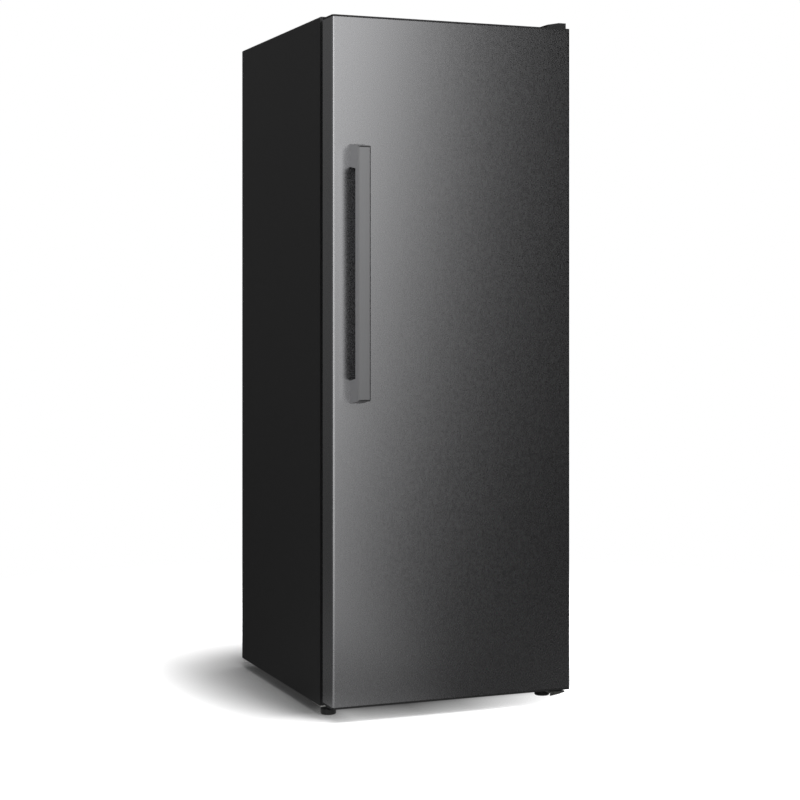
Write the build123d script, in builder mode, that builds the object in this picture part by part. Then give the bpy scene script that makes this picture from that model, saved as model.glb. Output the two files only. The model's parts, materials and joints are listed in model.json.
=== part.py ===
from build123d import *
import math
import os

os.makedirs("parts", exist_ok=True)

# A tall single-door refrigerator column. Sizes are in millimetres.
# The floor is Z = 0, the door faces -Y and hangs on the +X side, and the origin is on the floor
# under the middle of the whole object, from the handle's face to the wall spacers.

# Cabinet
cabinet_w = 530.0
cabinet_d = 540.0
cabinet_h = 1400.0
foot_gap = 20.0
corner_r = 3.0
sheet_t = 0.8
flange_w = 38.0
rear_flange_w = 12.0
side_wall = 50.0
top_wall = 50.0
floor_wall = 50.0
back_wall = 45.0

# Inner liner, its shelf ledges and its drain trough
liner_t = 2.0
liner_r = 20.0
liner_edge_r = 12.0
ledge_out = 9.0
ledge_h = 14.0
ledge_face = 6.0
ledge_setback = 100.0
ledge_head = 134.5
ledge_count = 10
trough_r = 9.0
trough_w = 240.0
trough_back = 14.0
trough_lift = 4.0

# Machine bay under the step at the back
bay_d = 185.0
bay_h = 225.0
bay_side = 20.0
bay_roof = 41.0
pan_lip = 12.0
fold_r = 2.0

# Shelves
glass_t = 4.0
shelf_setback = 125.0
shelf_side_gap = 3.0
shelf_back_gap = 8.0
shelf_count = 4
step_cover_gap = 15.0
step_cover_end = 14.4
lip_gap = 1.5
trim_wrap = 12.0
trim_t = 3.0
trim_upstand = 14.0

# Crisper drawer
crisper_setback = 128.0
crisper_head = 17.5
crisper_wall = 2.5
crisper_side_gap = 4.0
crisper_back_gap = 6.0
crisper_lean = 10.0
crisper_r = 16.0
crisper_edge_r = 12.0
crisper_lift = 0.5
grip_w = 120.0
grip_h = 26.0

# Light and temperature control, under the ceiling
housing_w = 236.0
housing_d = 165.0
housing_h = 40.0
housing_t = 2.0
housing_setback = 60.0
lens_w = 122.0
lens_d = 52.0
lens_x = -35.0
lens_back = 75.0
board_t = 1.6
knob_x = 80.0
knob_r = 14.0
knob_disc_t = 4.0
knob_grip_w = 7.0
knob_gap = 1.0
housing_chin = 8.0
lens_drop = 6.0
lens_h = 14.0
lens_wall = 2.0
lens_rim = 3.0
light_count = 5
light_w = 5.0
light_t = 1.2
knob_t = 13.0
stem_r = 3.0
stem_len = 13.0
thermostat_w = 34.0
thermostat_d = 26.0
thermostat_h = 20.0

# Door
door_t = 60.0
door_gap = 16.0
door_under = 7.0
door_over = 6.0
door_bend_r = 5.0
door_back_r = 1.6
door_return = 12.0
cap_t = 4.0
cap_skirt_h = 12.0
cap_skirt_t = 2.0
cap_boss_r = 10.0
cap_boss_over = 2.0
skirt_inset = 1.0
skirt_play = 0.2
liner_play = 0.5

# Ridge around the inner door, with bosses that carry the racks
ridge_side_gap = 21.0
ridge_floor_gap = 30.0
ridge_ceiling_gap = 66.0
ridge_t = 26.0
ridge_out = 68.0
ridge_draft = 4.0
ridge_r = 18.0
ridge_edge_r = 5.0
ridge_in_r = 8.0
boss_w = 12.0
boss_h = 22.0
boss_out = 7.0
boss_back = 36.0

# Door seal
seal_inset = 18.0
seal_w = 22.0
seal_gap = 0.3
seal_lip_t = 1.5
seal_rise = 2.5
seal_waist = 8.0
waist_h = 6.0
magnet_inset = 2.5
magnet_h = 6.0
dart_at = 8.2
dart_w = 3.0
dart_in = 5.0
dart_play = 0.2
channel_wall = 1.5

# Door racks
rack_rise = 330.0
rack_pitch = 270.0
rack_count = 3
rack_h = 62.0
rack_d = 98.0
rack_bow = 12.0
rack_wall = 2.2
rack_rear_h = 34.0
rack_r = 14.0
rack_foot_r = 5.0
rack_slope = 10.0
bottle_rack_rise = 32.0
bottle_rack_h = 92.0
bottle_rack_rear_h = 50.0
pad_t = 7.0
pad_w = 28.0
pad_h = 40.0
pad_drop = 2.0
pad_gap = 0.1
rack_play = 0.5
slot_play = 0.3
divider_t = 2.5
divider_d = 70.0
divider_h = 60.0
divider_play = 0.5
divider_hook_w = 24.0
divider_hook_h = 16.0

# Handle
handle_standoff = 48.0
handle_len = 519.5
handle_w = 27.0
handle_slant = 7.2
bar_t = 16.5
bar_edge = 2.5
post_len = 46.0
handle_inset = 36.9
handle_foot = 616.8
handle_screw_r = 2.5
handle_screw_head_r = 5.0
handle_screw_head_t = 4.0
handle_screw_len = 20.0
handle_screw_gap = 22.0

# Hinges
hinge_inset = 14.0
hinge_back = 29.0
pin_r = 4.0
pin_play = 0.05
pin_in = 16.0
washer_r = 10.0
pin_head_r = 7.0
pin_head_t = 4.0
bush_r = 6.5
bush_len = 18.0
top_plate_t = 2.5
top_arm_r = 10.0
top_plate_w = 31.0
top_screw_side = 6.0
top_screw_back = 10.0
top_screw_front = 20.0
plate_front = 4.0
plate_back = 60.0
base_plate_t = 3.0
base_arm_w = 36.0
base_arm_side = 2.0
base_arm_nose = 11.0
base_lip_h = 5.5
base_lip_mid = 3.5
base_plate_w = 62.0
base_screw_in = 9.0
base_screw_out = 16.0
base_screw_back = 12.0
base_screw_front = 14.0
plate_inset = 3.0
cover_h = 7.5
cover_drop = 4.0
cover_w = 46.0
cover_ridge_w = 19.0
cover_low = 2.5
cover_t = 1.2
cover_nose = 16.0
cover_tail = 6.0
cover_inset = 1.5
screw_r = 2.4
screw_head_r = 4.0
screw_head_t = 1.6
screw_len = 12.0
base_screw_r = 3.0
base_screw_head_r = 5.0
base_screw_head_t = 3.6
base_screw_len = 14.0
screw_play = 0.15
plug_head_t = 1.2
plug_stem_len = 8.0
head_taper = 20.0

# Front feet and rear rollers
foot_inset = 22.5
foot_back = 12.0
foot_r = 16.0
foot_base_h = 12.5
foot_edge = 1.5
foot_nut_af = 22.0
foot_nut_h = 3.5
stud_r = 5.0
stud_top = 45.0
stud_room = 1.5
roller_r = 20.0
roller_w = 14.0
roller_inset = 38.0
roller_back = 45.0
roller_edge = 1.5
roller_rim = 5.0
roller_hub = 3.0
axle_r = 4.0
axle_head_r = 6.0
axle_head_t = 2.0
ear_r = 11.0
ear_t = 2.0
ear_gap = 1.5

# Compressor and the plate that carries it
deck_z = 44.0
deck_t = 2.0
deck_flange = 14.0
deck_front_gap = 6.0
deck_back_gap = 3.0
deck_side_gap = 1.0
compressor_x = 50.0
can_w = 180.0
can_d = 140.0
can_h = 147.0
can_r = 60.0
can_top_r = 30.0
can_foot_r = 14.0
seam_out = 3.0
seam_t = 4.0
seam_z = 70.0
mount_dx = 192.0
mount_dy = 104.0
strap_len = 224.0
strap_w = 28.0
strap_t = 3.0
grommet_r = 11.0
grommet_neck_r = 7.6
grommet_h = 10.0
grommet_cap_h = 6.0
grommet_play = 0.2
bolt_r = 4.0
bolt_head_r = 7.0
bolt_head_t = 4.0
bolt_nut_t = 5.0
relay_w = 46.0
relay_d = 56.0
relay_h = 60.0
relay_z = 40.0
relay_r = 6.0
inlet_r = 8.0
inlet_len = 10.0
inlet_hole_r = 3.5
inlet_taper = 8.0
tray_w = 170.0
tray_d = 130.0
tray_h = 28.0
tray_wall = 2.0
tray_r = 20.0
drain_r = 7.0
drain_wall = 1.5
drain_dip = 20.0

# Refrigerant circuit
tube_r = 2.5
wire_r = 0.8
wire_count = 20
wire_over = 12.0
weld_in = 0.1
passes = 18
condenser_rise = 55.0
condenser_drop = 168.0
condenser_side = 45.0
condenser_back = 20.0
leg_gap = 16.0
leg_drop = 40.0
leg_r = 16.0
clip_w = 12.0
clip_h = 18.0
clip_play = 0.4
clip_mouth = 3.4
clip_wires = 7
clip_back = 3.5
drier_r = 9.5
drier_len = 90.0
drier_cone = 12.0
capillary_r = 1.0
suction_r = 4.0
stub_len = 14.0
stub_side = 25.0
stub_wall = 1.0
suction_z = 100.0
discharge_z = 45.0
suction_out = 90.0
capillary_side = 40.0
capillary_off = 20.0
pipe_in = 12.0
pipe_room = 0.6
pipe_bend_r = 18.0
evaporator_side = 35.0
evaporator_under = 194.0
evaporator_over = 190.0
evaporator_t = 1.2
channel_w = 9.0
channel_t = 3.0
channel_rows = 9
evaporator_gap = 0.3

# Rear wall spacers
spacer_reach = 35.0
spacer_inset = 75.0
spacer_drop = 35.0
spacer_w = 34.0
spacer_h = 26.0
spacer_draft = 5.0

# Places worked out from the sizes
reach = handle_standoff + door_t + door_gap
front_y = (reach - cabinet_d - spacer_reach) / 2
back_y = front_y + cabinet_d
side_x = cabinet_w / 2
bottom_z = foot_gap
top_z = bottom_z + cabinet_h
in_x = side_x - side_wall
in_floor = bottom_z + floor_wall
in_top = top_z - top_wall
in_back = back_y - back_wall
lip_w = side_wall - flange_w
bay_y = back_y - bay_d
bay_mid_y = back_y - bay_d / 2
bay_top = bottom_z + bay_h
bay_x = side_x - bay_side
step_y = bay_y - back_wall
step_z = bay_top + bay_roof
drain_y = in_back - trough_back
door_rear = front_y - door_gap
door_front = door_rear - door_t
door_z0 = bottom_z + door_under
door_z1 = top_z - door_over
inner_door = door_rear - sheet_t
hinge_x = side_x - hinge_inset
hinge_y = door_rear - hinge_back
deck_top = deck_z + deck_t
strap_z = deck_top + grommet_h
can_top = strap_z + can_h
condenser_y = back_y + condenser_back
condenser_z = bay_top + condenser_rise
condenser_top = top_z - condenser_drop
pass_pitch = (condenser_top - condenser_z) / (passes - 1)
condenser_w = cabinet_w - 2 * condenser_side
wire_pitch = condenser_w / wire_count
run_x = condenser_w / 2
leg_z = bay_top - leg_drop
evaporator_w = 2 * (in_x - evaporator_side)
evaporator_z = step_z + evaporator_under
evaporator_h = in_top - evaporator_over - evaporator_z
spacer_x = side_x - spacer_inset
spacer_z = top_z - spacer_drop
crisper_h = step_z - in_floor - crisper_lift - crisper_head
step_cover_half = in_x - step_cover_gap
lip_half = in_x - ledge_out - lip_gap
ridge_w = 2 * (in_x - ridge_side_gap)
ridge_z = in_floor + ridge_floor_gap
ridge_h = in_top - ridge_ceiling_gap - ridge_z
bottle_rack_z = ridge_z + bottle_rack_rise
rack_levels = [ridge_z + rack_rise + n * rack_pitch for n in range(rack_count)]
ledge_pitch = (in_top - step_z - ledge_head) / (ledge_count - 1)
foot_places = [(side * (side_x - foot_inset), front_y + foot_back) for side in (-1, 1)]
roller_places = [side * (side_x - roller_inset) for side in (-1, 1)]
shelf_levels = [step_z + 2 * (n + 1) * ledge_pitch for n in range(shelf_count)]
ledge_levels = [step_z + n * ledge_pitch for n in range(ledge_count)]
top_plate_mid = (side_x - (top_plate_w + plate_inset) / 2, front_y + (plate_front + plate_back) / 2)
top_screw_places = [
    (top_plate_mid[0] - top_screw_side, front_y + plate_back - top_screw_back),
    (top_plate_mid[0] + top_screw_side, front_y + plate_back - top_screw_back),
    (top_plate_mid[0], front_y + top_screw_front),
]
spare_hole_places = [(-x, y) for x, y in top_screw_places]
plate_screws = (
    (base_plate_w - base_screw_in, plate_back - base_screw_back),
    (base_screw_out, plate_back - base_screw_back),
    (base_plate_w - base_screw_in, base_screw_front),
)
base_screw_places = [
    (side * (side_x - inset), front_y + back) for side in (-1, 1) for inset, back in plate_screws
]
plate_mid = (side_x - (base_plate_w + plate_inset) / 2, front_y + (plate_front + plate_back) / 2)


def upright(y):
    """The upright plane at depth y, with axes X and Z: extruding a positive amount comes forwards."""
    return Plane.XZ.offset(-y)


def folded(points, radii, thickness):
    """The section of a folded sheet: its outer line, bent at the corners, and its thickness to the left."""
    with BuildSketch() as section:
        with BuildLine():
            FilletPolyline(*points, radius=radii)
            offset(amount=thickness, side=Side.LEFT, kind=Kind.INTERSECTION)
        make_face()
    return section.sketch


def arch(width, height, corner):
    """An outline that stands on its lower edge, with rounded upper corners."""
    with BuildSketch() as outline:
        Rectangle(width, height, align=(Align.CENTER, Align.MIN))
        fillet(outline.vertices().group_by(Axis.Y)[-1], corner)
    return outline.sketch


def pipe(points, radius, sides):
    """A bent pipe through the points, drawn with a few flat sides."""
    with BuildPart() as bent:
        with BuildLine() as path:
            FilletPolyline(*points, radius=pipe_bend_r)
        with BuildSketch(Plane(origin=path.line @ 0, z_dir=path.line % 0)):
            RegularPolygon(radius, sides)
        sweep()
    return bent.part


# The outer wrap: one folded sheet over both sides and the top, with front and rear flanges
wrap_layers = (
    (front_y, cabinet_d, sheet_t),
    (front_y, sheet_t, flange_w),
    (back_y - sheet_t, sheet_t, rear_flange_w),
)
with BuildPart() as outer_shell:
    for start_y, length, inset in wrap_layers:
        with BuildSketch(upright(start_y)):
            with Locations((0, bottom_z)):
                add(arch(cabinet_w, cabinet_h, corner_r))
                add(arch(cabinet_w - 2 * inset, cabinet_h - inset, corner_r - sheet_t), mode=Mode.SUBTRACT)
        extrude(amount=-length)
    with BuildSketch(Plane.XY.offset(top_z)):
        with Locations(*top_screw_places, *spare_hole_places):
            Circle(screw_r + screw_play)
    extrude(amount=-2 * sheet_t, mode=Mode.SUBTRACT)

# The floor pan, which turns up at the front behind the wrap's flange
pan_front = front_y + sheet_t
pan_outline = [
    (pan_front, bottom_z + floor_wall - lip_w),
    (pan_front, bottom_z),
    (bay_y, bottom_z),
    (bay_y, bottom_z + pan_lip),
]
with BuildPart() as base_pan:
    with BuildSketch(Plane.YZ):
        add(folded(pan_outline, fold_r, sheet_t))
    extrude(amount=side_x - sheet_t, both=True)
    with BuildSketch(Plane.XY.offset(bottom_z)):
        with Locations(*base_screw_places):
            Circle(base_screw_r + screw_play)
        with Locations(*foot_places):
            Circle(stud_r + stud_room)
    extrude(amount=2 * sheet_t, mode=Mode.SUBTRACT)

# The machine bay's lining, open at the back and below, with flanges under the insulation beside it
# and holes for the drain and two pipes
suction_place = (compressor_x - can_w / 2 - suction_out, bay_mid_y - stub_side)
capillary_place = (-bay_x + capillary_side, bay_mid_y + capillary_off)
with BuildPart() as machine_housing:
    with BuildSketch(Plane.XY.offset(bottom_z)):
        with Locations((0, bay_mid_y)):
            Rectangle(2 * bay_x, bay_d)
    extrude(amount=bay_h)
    open_faces = [faces().sort_by(Axis.Y)[-1], faces().sort_by(Axis.Z)[0]]
    offset(amount=-sheet_t, openings=open_faces)
    with BuildSketch(Plane.XY.offset(bottom_z)):
        with Locations((0, bay_y)):
            Rectangle(2 * (side_x - sheet_t), bay_d - 2 * sheet_t, align=(Align.CENTER, Align.MIN))
            Rectangle(2 * (bay_x - sheet_t), bay_d, align=(Align.CENTER, Align.MIN), mode=Mode.SUBTRACT)
    extrude(amount=sheet_t)
    with BuildSketch(Plane.XY.offset(bay_top)):
        with Locations((0, drain_y)):
            Circle(drain_r + pipe_room)
        with Locations(suction_place):
            Circle(suction_r + pipe_room)
        with Locations(capillary_place):
            Circle(capillary_r + pipe_room)
    extrude(amount=-2 * sheet_t, mode=Mode.SUBTRACT)

# The back panel closes the insulation behind, above and beside the machine bay
with BuildPart() as back_panel:
    with BuildSketch(upright(back_y - 2 * sheet_t)):
        with Locations((0, bottom_z)):
            add(arch(cabinet_w - 2 * sheet_t, cabinet_h - sheet_t, corner_r - sheet_t))
            Rectangle(2 * bay_x, bay_h, align=(Align.CENTER, Align.MIN), mode=Mode.SUBTRACT)
    extrude(amount=-sheet_t)


def cavity(grow):
    """The space inside the liner, larger by grow all round: stepped over the machine bay, with ledges."""
    with BuildPart() as space:
        with BuildSketch(Plane.YZ):
            with BuildLine():
                Polyline(
                    (front_y, in_floor - grow),
                    (step_y + grow, in_floor - grow),
                    (step_y + grow, step_z - grow),
                    (in_back + grow, step_z - grow),
                    (in_back + grow, in_top + grow),
                    (front_y, in_top + grow),
                    close=True,
                )
            make_face()
            fillet(vertices().filter_by_position(Axis.X, front_y + 1, back_y), liner_r)
        extrude(amount=in_x + grow, both=True)
        rims = faces().filter_by(Axis.X).edges()
        fillet(rims.filter_by(lambda edge: edge.center().Y > front_y + 1), liner_edge_r)
        with BuildSketch(upright(front_y + ledge_setback + grow)):
            for z in ledge_levels:
                with BuildLine():
                    Polyline(
                        (in_x + 2 * grow + 1, z - grow),
                        (in_x - ledge_out + grow, z - grow),
                        (in_x - ledge_out + grow, z - ledge_face),
                        (in_x + grow, z - ledge_h + grow),
                        (in_x + 2 * grow + 1, z - ledge_h + grow),
                        close=True,
                    )
                make_face()
            mirror(about=Plane.YZ)
        extrude(amount=-cabinet_d, mode=Mode.SUBTRACT)
        with BuildSketch(Plane.YZ):
            with Locations((drain_y, step_z + trough_lift)):
                Circle(trough_r + grow)
        extrude(amount=trough_w / 2 + grow, both=True)
    return space.part


# The inner liner with its front lip, and the outlet at the bottom of the drain trough
with BuildPart() as liner_outside:
    add(cavity(liner_t))
    with BuildSketch(upright(front_y)):
        with Locations((0, in_floor - lip_w)):
            add(arch(2 * (in_x + lip_w), in_top - in_floor + 2 * lip_w, corner_r - sheet_t))
    extrude(amount=-liner_t)

with BuildPart() as cabinet_liner:
    add(liner_outside.part)
    add(cavity(0), mode=Mode.SUBTRACT)
    with BuildSketch(Plane.XY.offset(bay_top)):
        with Locations((0, drain_y)):
            Circle(drain_r - drain_wall)
    extrude(amount=bay_roof, mode=Mode.SUBTRACT)

# The cooling plate bonded behind the liner, with its winding channel raised on the foam side
plate_y = in_back + liner_t + evaporator_gap
channel_rise = (evaporator_h - 4 * channel_w) / (channel_rows - 1)
channel_turn = evaporator_w / 2 - 2 * channel_w
zigzag = []
for row in range(channel_rows):
    row_z = evaporator_z + 2 * channel_w + row * channel_rise
    near = channel_turn if row % 2 else -channel_turn
    zigzag += [(near, row_z), (-near, row_z)]
with BuildPart() as evaporator_plate:
    with BuildSketch(upright(plate_y)):
        with Locations((0, evaporator_z)):
            Rectangle(evaporator_w, evaporator_h, align=(Align.CENTER, Align.MIN))
    extrude(amount=-evaporator_t)
    with BuildSketch(upright(plate_y + evaporator_t)):
        with BuildLine():
            FilletPolyline(*zigzag, radius=channel_rise / 3)
        trace(line_width=channel_w)
    extrude(amount=-channel_t)

# The drain tube from the trough down into the machine bay
with BuildPart() as drain_tube:
    with BuildSketch(Plane.XY.offset(bay_top - drain_dip)):
        with Locations((0, drain_y)):
            Circle(drain_r)
            Circle(drain_r - drain_wall, mode=Mode.SUBTRACT)
    extrude(amount=drain_dip + bay_roof + trough_lift - trough_r - liner_t)

# Screws under the foot plate and the lower hinge
with BuildPart() as base_screws:
    with BuildSketch(Plane.XY.offset(bottom_z - base_plate_t - base_screw_head_t)):
        with Locations(*base_screw_places):
            RegularPolygon(base_screw_head_r, 6)
    extrude(amount=base_screw_head_t)
    with BuildSketch(Plane.XY.offset(bottom_z - base_plate_t)):
        with Locations(*base_screw_places):
            Circle(base_screw_r)
    extrude(amount=base_screw_len)

# Plates under the front corners: a plain one on the left, the lower hinge on the right
with BuildPart() as foot_plate:
    with BuildSketch(Plane.XY.offset(bottom_z - base_plate_t)):
        with Locations((-plate_mid[0], plate_mid[1])):
            RectangleRounded(base_plate_w - plate_inset, plate_back - plate_front, fold_r)
        with Locations(*base_screw_places[:len(plate_screws)]):
            Circle(base_screw_r + screw_play, mode=Mode.SUBTRACT)
        with Locations(foot_places[0]):
            Circle(stud_r + pin_play, mode=Mode.SUBTRACT)
    extrude(amount=base_plate_t)

arm_front = hinge_y - base_arm_nose
arm_back = front_y + plate_front + 2 * fold_r
arm_x = side_x - base_arm_side - base_arm_w / 2
with BuildPart() as bottom_hinge:
    with BuildSketch(Plane.XY.offset(bottom_z - base_plate_t)):
        with Locations((arm_x, (arm_front + arm_back) / 2)):
            RectangleRounded(base_arm_w, arm_back - arm_front, fold_r)
        with Locations(plate_mid):
            RectangleRounded(base_plate_w - plate_inset, plate_back - plate_front, fold_r)
        with Locations(*base_screw_places[len(plate_screws):]):
            Circle(base_screw_r + screw_play, mode=Mode.SUBTRACT)
        with Locations(foot_places[1]):
            Circle(stud_r + pin_play, mode=Mode.SUBTRACT)
        with Locations((hinge_x, hinge_y)):
            Circle(pin_r + pin_play, mode=Mode.SUBTRACT)
    extrude(amount=base_plate_t)
    # The arm's front lip, folded down to stiffen it and deeper towards the foot
    with BuildSketch(upright(arm_front)):
        with BuildLine():
            Polyline(
                (arm_x - base_arm_w / 2 + fold_r, bottom_z - base_plate_t),
                (arm_x - base_arm_w / 2 + fold_r, bottom_z - base_plate_t - base_lip_h),
                (arm_x, bottom_z - base_plate_t - base_lip_mid),
                (arm_x + base_arm_w / 2 - fold_r, bottom_z - base_plate_t),
                close=True,
            )
        make_face()
    extrude(amount=-base_plate_t)

# The lower hinge pin, headed under its plate, and the washer that carries the door
with BuildPart() as hinge_pin:
    with BuildSketch(Plane.XY.offset(bottom_z - base_plate_t)):
        with Locations((hinge_x, hinge_y)):
            Circle(pin_r)
    extrude(amount=base_plate_t + door_under + pin_in)
    chamfer(faces().sort_by(Axis.Z)[-1].edges(), pin_r / 4)
    with BuildSketch(Plane.XY.offset(bottom_z - base_plate_t)):
        with Locations((hinge_x, hinge_y)):
            Circle(pin_head_r)
    extrude(amount=-pin_head_t)
    fillet(faces().sort_by(Axis.Z)[0].edges(), fold_r / 2)

with BuildPart() as hinge_washer:
    with BuildSketch(Plane.XY.offset(bottom_z)):
        with Locations((hinge_x, hinge_y)):
            Circle(washer_r)
            Circle(pin_r + pin_play, mode=Mode.SUBTRACT)
    extrude(amount=door_under - seal_gap)

# The upper hinge: a plate on the cabinet's top, narrowing to the pin that points down into the door
with BuildPart() as top_hinge:
    with BuildSketch(Plane.XY.offset(top_z)):
        with Locations((hinge_x, hinge_y)):
            Circle(top_arm_r)
        with Locations(top_plate_mid):
            Rectangle(top_plate_w - plate_inset, plate_back - plate_front)
        make_hull()
        with Locations(*top_screw_places):
            Circle(screw_r + screw_play, mode=Mode.SUBTRACT)
    extrude(amount=top_plate_t)
    with BuildSketch(Plane.XY.offset(top_z)):
        with Locations((hinge_x, hinge_y)):
            Circle(pin_r)
    extrude(amount=-(door_over + pin_in))
    chamfer(faces().sort_by(Axis.Z)[0].edges(), pin_r / 4)

with BuildPart() as top_hinge_screws:
    with BuildSketch(Plane.XY.offset(top_z + top_plate_t)):
        with Locations(*top_screw_places):
            Circle(screw_head_r)
    extrude(amount=screw_head_t, taper=head_taper)
    with BuildSketch(Plane.XY.offset(top_z + top_plate_t)):
        with Locations(*top_screw_places):
            Circle(screw_r)
    extrude(amount=-screw_len)

# Plugs in the spare holes on the left, where the hinge goes if the door is hung the other way
with BuildPart() as hinge_hole_plugs:
    with BuildSketch(Plane.XY.offset(top_z)):
        with Locations(*spare_hole_places):
            Circle(screw_head_r)
    extrude(amount=plug_head_t, taper=head_taper)
    with BuildSketch(Plane.XY.offset(top_z)):
        with Locations(*spare_hole_places):
            Circle(screw_r)
    extrude(amount=-plug_stem_len)

# The hinge cover: a thin hood, high along its outer side and sloping down to the left
cover_right = side_x - cover_inset
cover_left = side_x - cover_w
cover_front = hinge_y - cover_nose
with BuildPart() as hinge_cover:
    with BuildSketch(upright(cover_front)):
        with BuildLine():
            Polyline(
                (cover_right, top_z - cover_drop),
                (cover_right, top_z + cover_h),
                (side_x - cover_ridge_w, top_z + cover_h),
                (cover_left, top_z + cover_low),
                (cover_left, top_z - cover_drop),
                close=True,
            )
        make_face()
    extrude(amount=cover_front - front_y - plate_back - cover_tail)
    fillet(edges().filter_by(Axis.Z).group_by(Axis.Y)[0], 2 * cover_t)
    offset(amount=-cover_t, openings=faces().sort_by(Axis.Z)[0])
    with BuildSketch(Plane.XY.offset(top_z)):
        with Locations((side_x - cover_w / 2, front_y - seal_gap)):
            Rectangle(2 * cover_w, cabinet_d, align=(Align.CENTER, Align.MIN))
    extrude(amount=-2 * cover_drop, mode=Mode.SUBTRACT)

# Front feet: a round base with a hexagon above it and a threaded stud up into the cabinet
def foot(place):
    """A levelling foot under one front corner."""
    with BuildPart() as leveller:
        with BuildSketch():
            with Locations(place):
                Circle(foot_r)
        extrude(amount=foot_base_h)
        chamfer(edges().filter_by(GeomType.CIRCLE), foot_edge)
        with BuildSketch(Plane.XY.offset(foot_base_h)):
            with Locations(place):
                RegularPolygon(foot_nut_af / 2, 6, major_radius=False)
        extrude(amount=foot_nut_h)
        with BuildSketch(Plane.XY.offset(foot_base_h)):
            with Locations(place):
                Circle(stud_r)
        extrude(amount=stud_top - foot_base_h)
    return leveller


foot_left = foot(foot_places[0])
foot_right = foot(foot_places[1])

# The plate across the bottom of the machine bay, with ears below it for the roller axles
mount_place = (compressor_x, bay_mid_y)
ear_spread = roller_w / 2 + ear_gap + ear_t / 2
ear_places = [x + side * ear_spread for x in roller_places for side in (-1, 1)]
roller_y = back_y - roller_back
deck_front = bay_y + deck_front_gap
deck_back = back_y - deck_back_gap
deck_outline = [
    (deck_back, deck_top - deck_flange),
    (deck_back, deck_top),
    (deck_front, deck_top),
    (deck_front, deck_top - deck_flange),
]
with BuildPart() as compressor_deck:
    with BuildSketch(Plane.YZ):
        add(folded(deck_outline, fold_r + deck_t, deck_t))
    extrude(amount=bay_x - sheet_t - deck_side_gap, both=True)
    for ear_x in ear_places:
        with BuildSketch(Plane.YZ.offset(ear_x)):
            with Locations((roller_y, roller_r)):
                Circle(ear_r)
            with Locations((roller_y, deck_z)):
                Rectangle(2.4 * ear_r, deck_t)
            make_hull()
            with Locations((roller_y, roller_r)):
                Circle(axle_r + pin_play, mode=Mode.SUBTRACT)
        extrude(amount=ear_t / 2, both=True)
    with BuildSketch(Plane.XY.offset(deck_z)):
        with Locations(mount_place):
            with GridLocations(mount_dx, mount_dy, 2, 2):
                Circle(bolt_r + screw_play)
    extrude(amount=deck_t, mode=Mode.SUBTRACT)

with BuildPart() as roller_axles:
    for roller_x in roller_places:
        with BuildSketch(Plane.YZ.offset(roller_x - ear_spread - ear_t)):
            with Locations((roller_y, roller_r)):
                Circle(axle_r)
        extrude(amount=2 * ear_spread + 2 * ear_t)
        with BuildSketch(Plane.YZ.offset(roller_x - ear_spread - ear_t / 2)):
            with Locations((roller_y, roller_r)):
                Circle(axle_head_r)
        extrude(amount=-axle_head_t)


def roller(roller_x):
    """A rear roller with a bevelled rim and recessed sides."""
    with BuildPart() as wheel:
        with BuildSketch(Plane.YZ.offset(roller_x)):
            with Locations((roller_y, roller_r)):
                Circle(roller_r)
        extrude(amount=roller_w / 2, both=True)
        chamfer(edges(), roller_edge)
        for side in (-1, 1):
            with BuildSketch(Plane.YZ.offset(roller_x + side * roller_w / 2)):
                with Locations((roller_y, roller_r)):
                    Circle(roller_r - roller_rim)
                    Circle(axle_r + roller_hub, mode=Mode.SUBTRACT)
            extrude(amount=-side * roller_w / 4, mode=Mode.SUBTRACT)
        with BuildSketch(Plane.YZ.offset(roller_x)):
            with Locations((roller_y, roller_r)):
                Circle(axle_r + pin_play)
        extrude(amount=roller_w, both=True, mode=Mode.SUBTRACT)
    return wheel


roller_left = roller(roller_places[0])
roller_right = roller(roller_places[1])

# The compressor: a pressed can with a welded seam, two straps with mounting holes, and three pipe stubs
stub_face = compressor_x - can_w / 2
with BuildPart() as compressor:
    with BuildSketch(Plane.XY.offset(strap_z)):
        with Locations(mount_place):
            RectangleRounded(can_w, can_d, can_r)
    extrude(amount=can_h)
    fillet(faces().sort_by(Axis.Z)[-1].edges(), can_top_r)
    fillet(faces().sort_by(Axis.Z)[0].edges(), can_foot_r)
    with BuildSketch(Plane.XY.offset(strap_z + seam_z)):
        with Locations(mount_place):
            RectangleRounded(can_w + 2 * seam_out, can_d + 2 * seam_out, can_r + seam_out)
    extrude(amount=seam_t)
    with BuildSketch(Plane.XY.offset(strap_z)):
        with Locations(mount_place):
            with GridLocations(0, mount_dy, 1, 2):
                SlotOverall(strap_len, strap_w)
            with GridLocations(mount_dx, mount_dy, 2, 2):
                Circle(grommet_neck_r + grommet_play, mode=Mode.SUBTRACT)
    extrude(amount=strap_t)
    for stub_y, stub_z, radius in (
        (bay_mid_y - stub_side, suction_z, suction_r),
        (bay_mid_y + stub_side, discharge_z, tube_r),
        (bay_mid_y + stub_side, suction_z, tube_r),
    ):
        with BuildSketch(Plane.YZ.offset(stub_face + can_r / 2)):
            with Locations((stub_y, strap_z + stub_z)):
                Circle(radius + stub_wall)
        extrude(amount=-(can_r / 2 + stub_len))

with BuildPart() as compressor_mounts:
    for base, height, radius in (
        (deck_top, grommet_h, grommet_r),
        (strap_z, strap_t, grommet_neck_r),
        (strap_z + strap_t, grommet_cap_h, grommet_r - 1),
    ):
        with BuildSketch(Plane.XY.offset(base)):
            with Locations(mount_place):
                with GridLocations(mount_dx, mount_dy, 2, 2):
                    Circle(radius)
                    Circle(bolt_r + screw_play, mode=Mode.SUBTRACT)
        extrude(amount=height)

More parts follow.
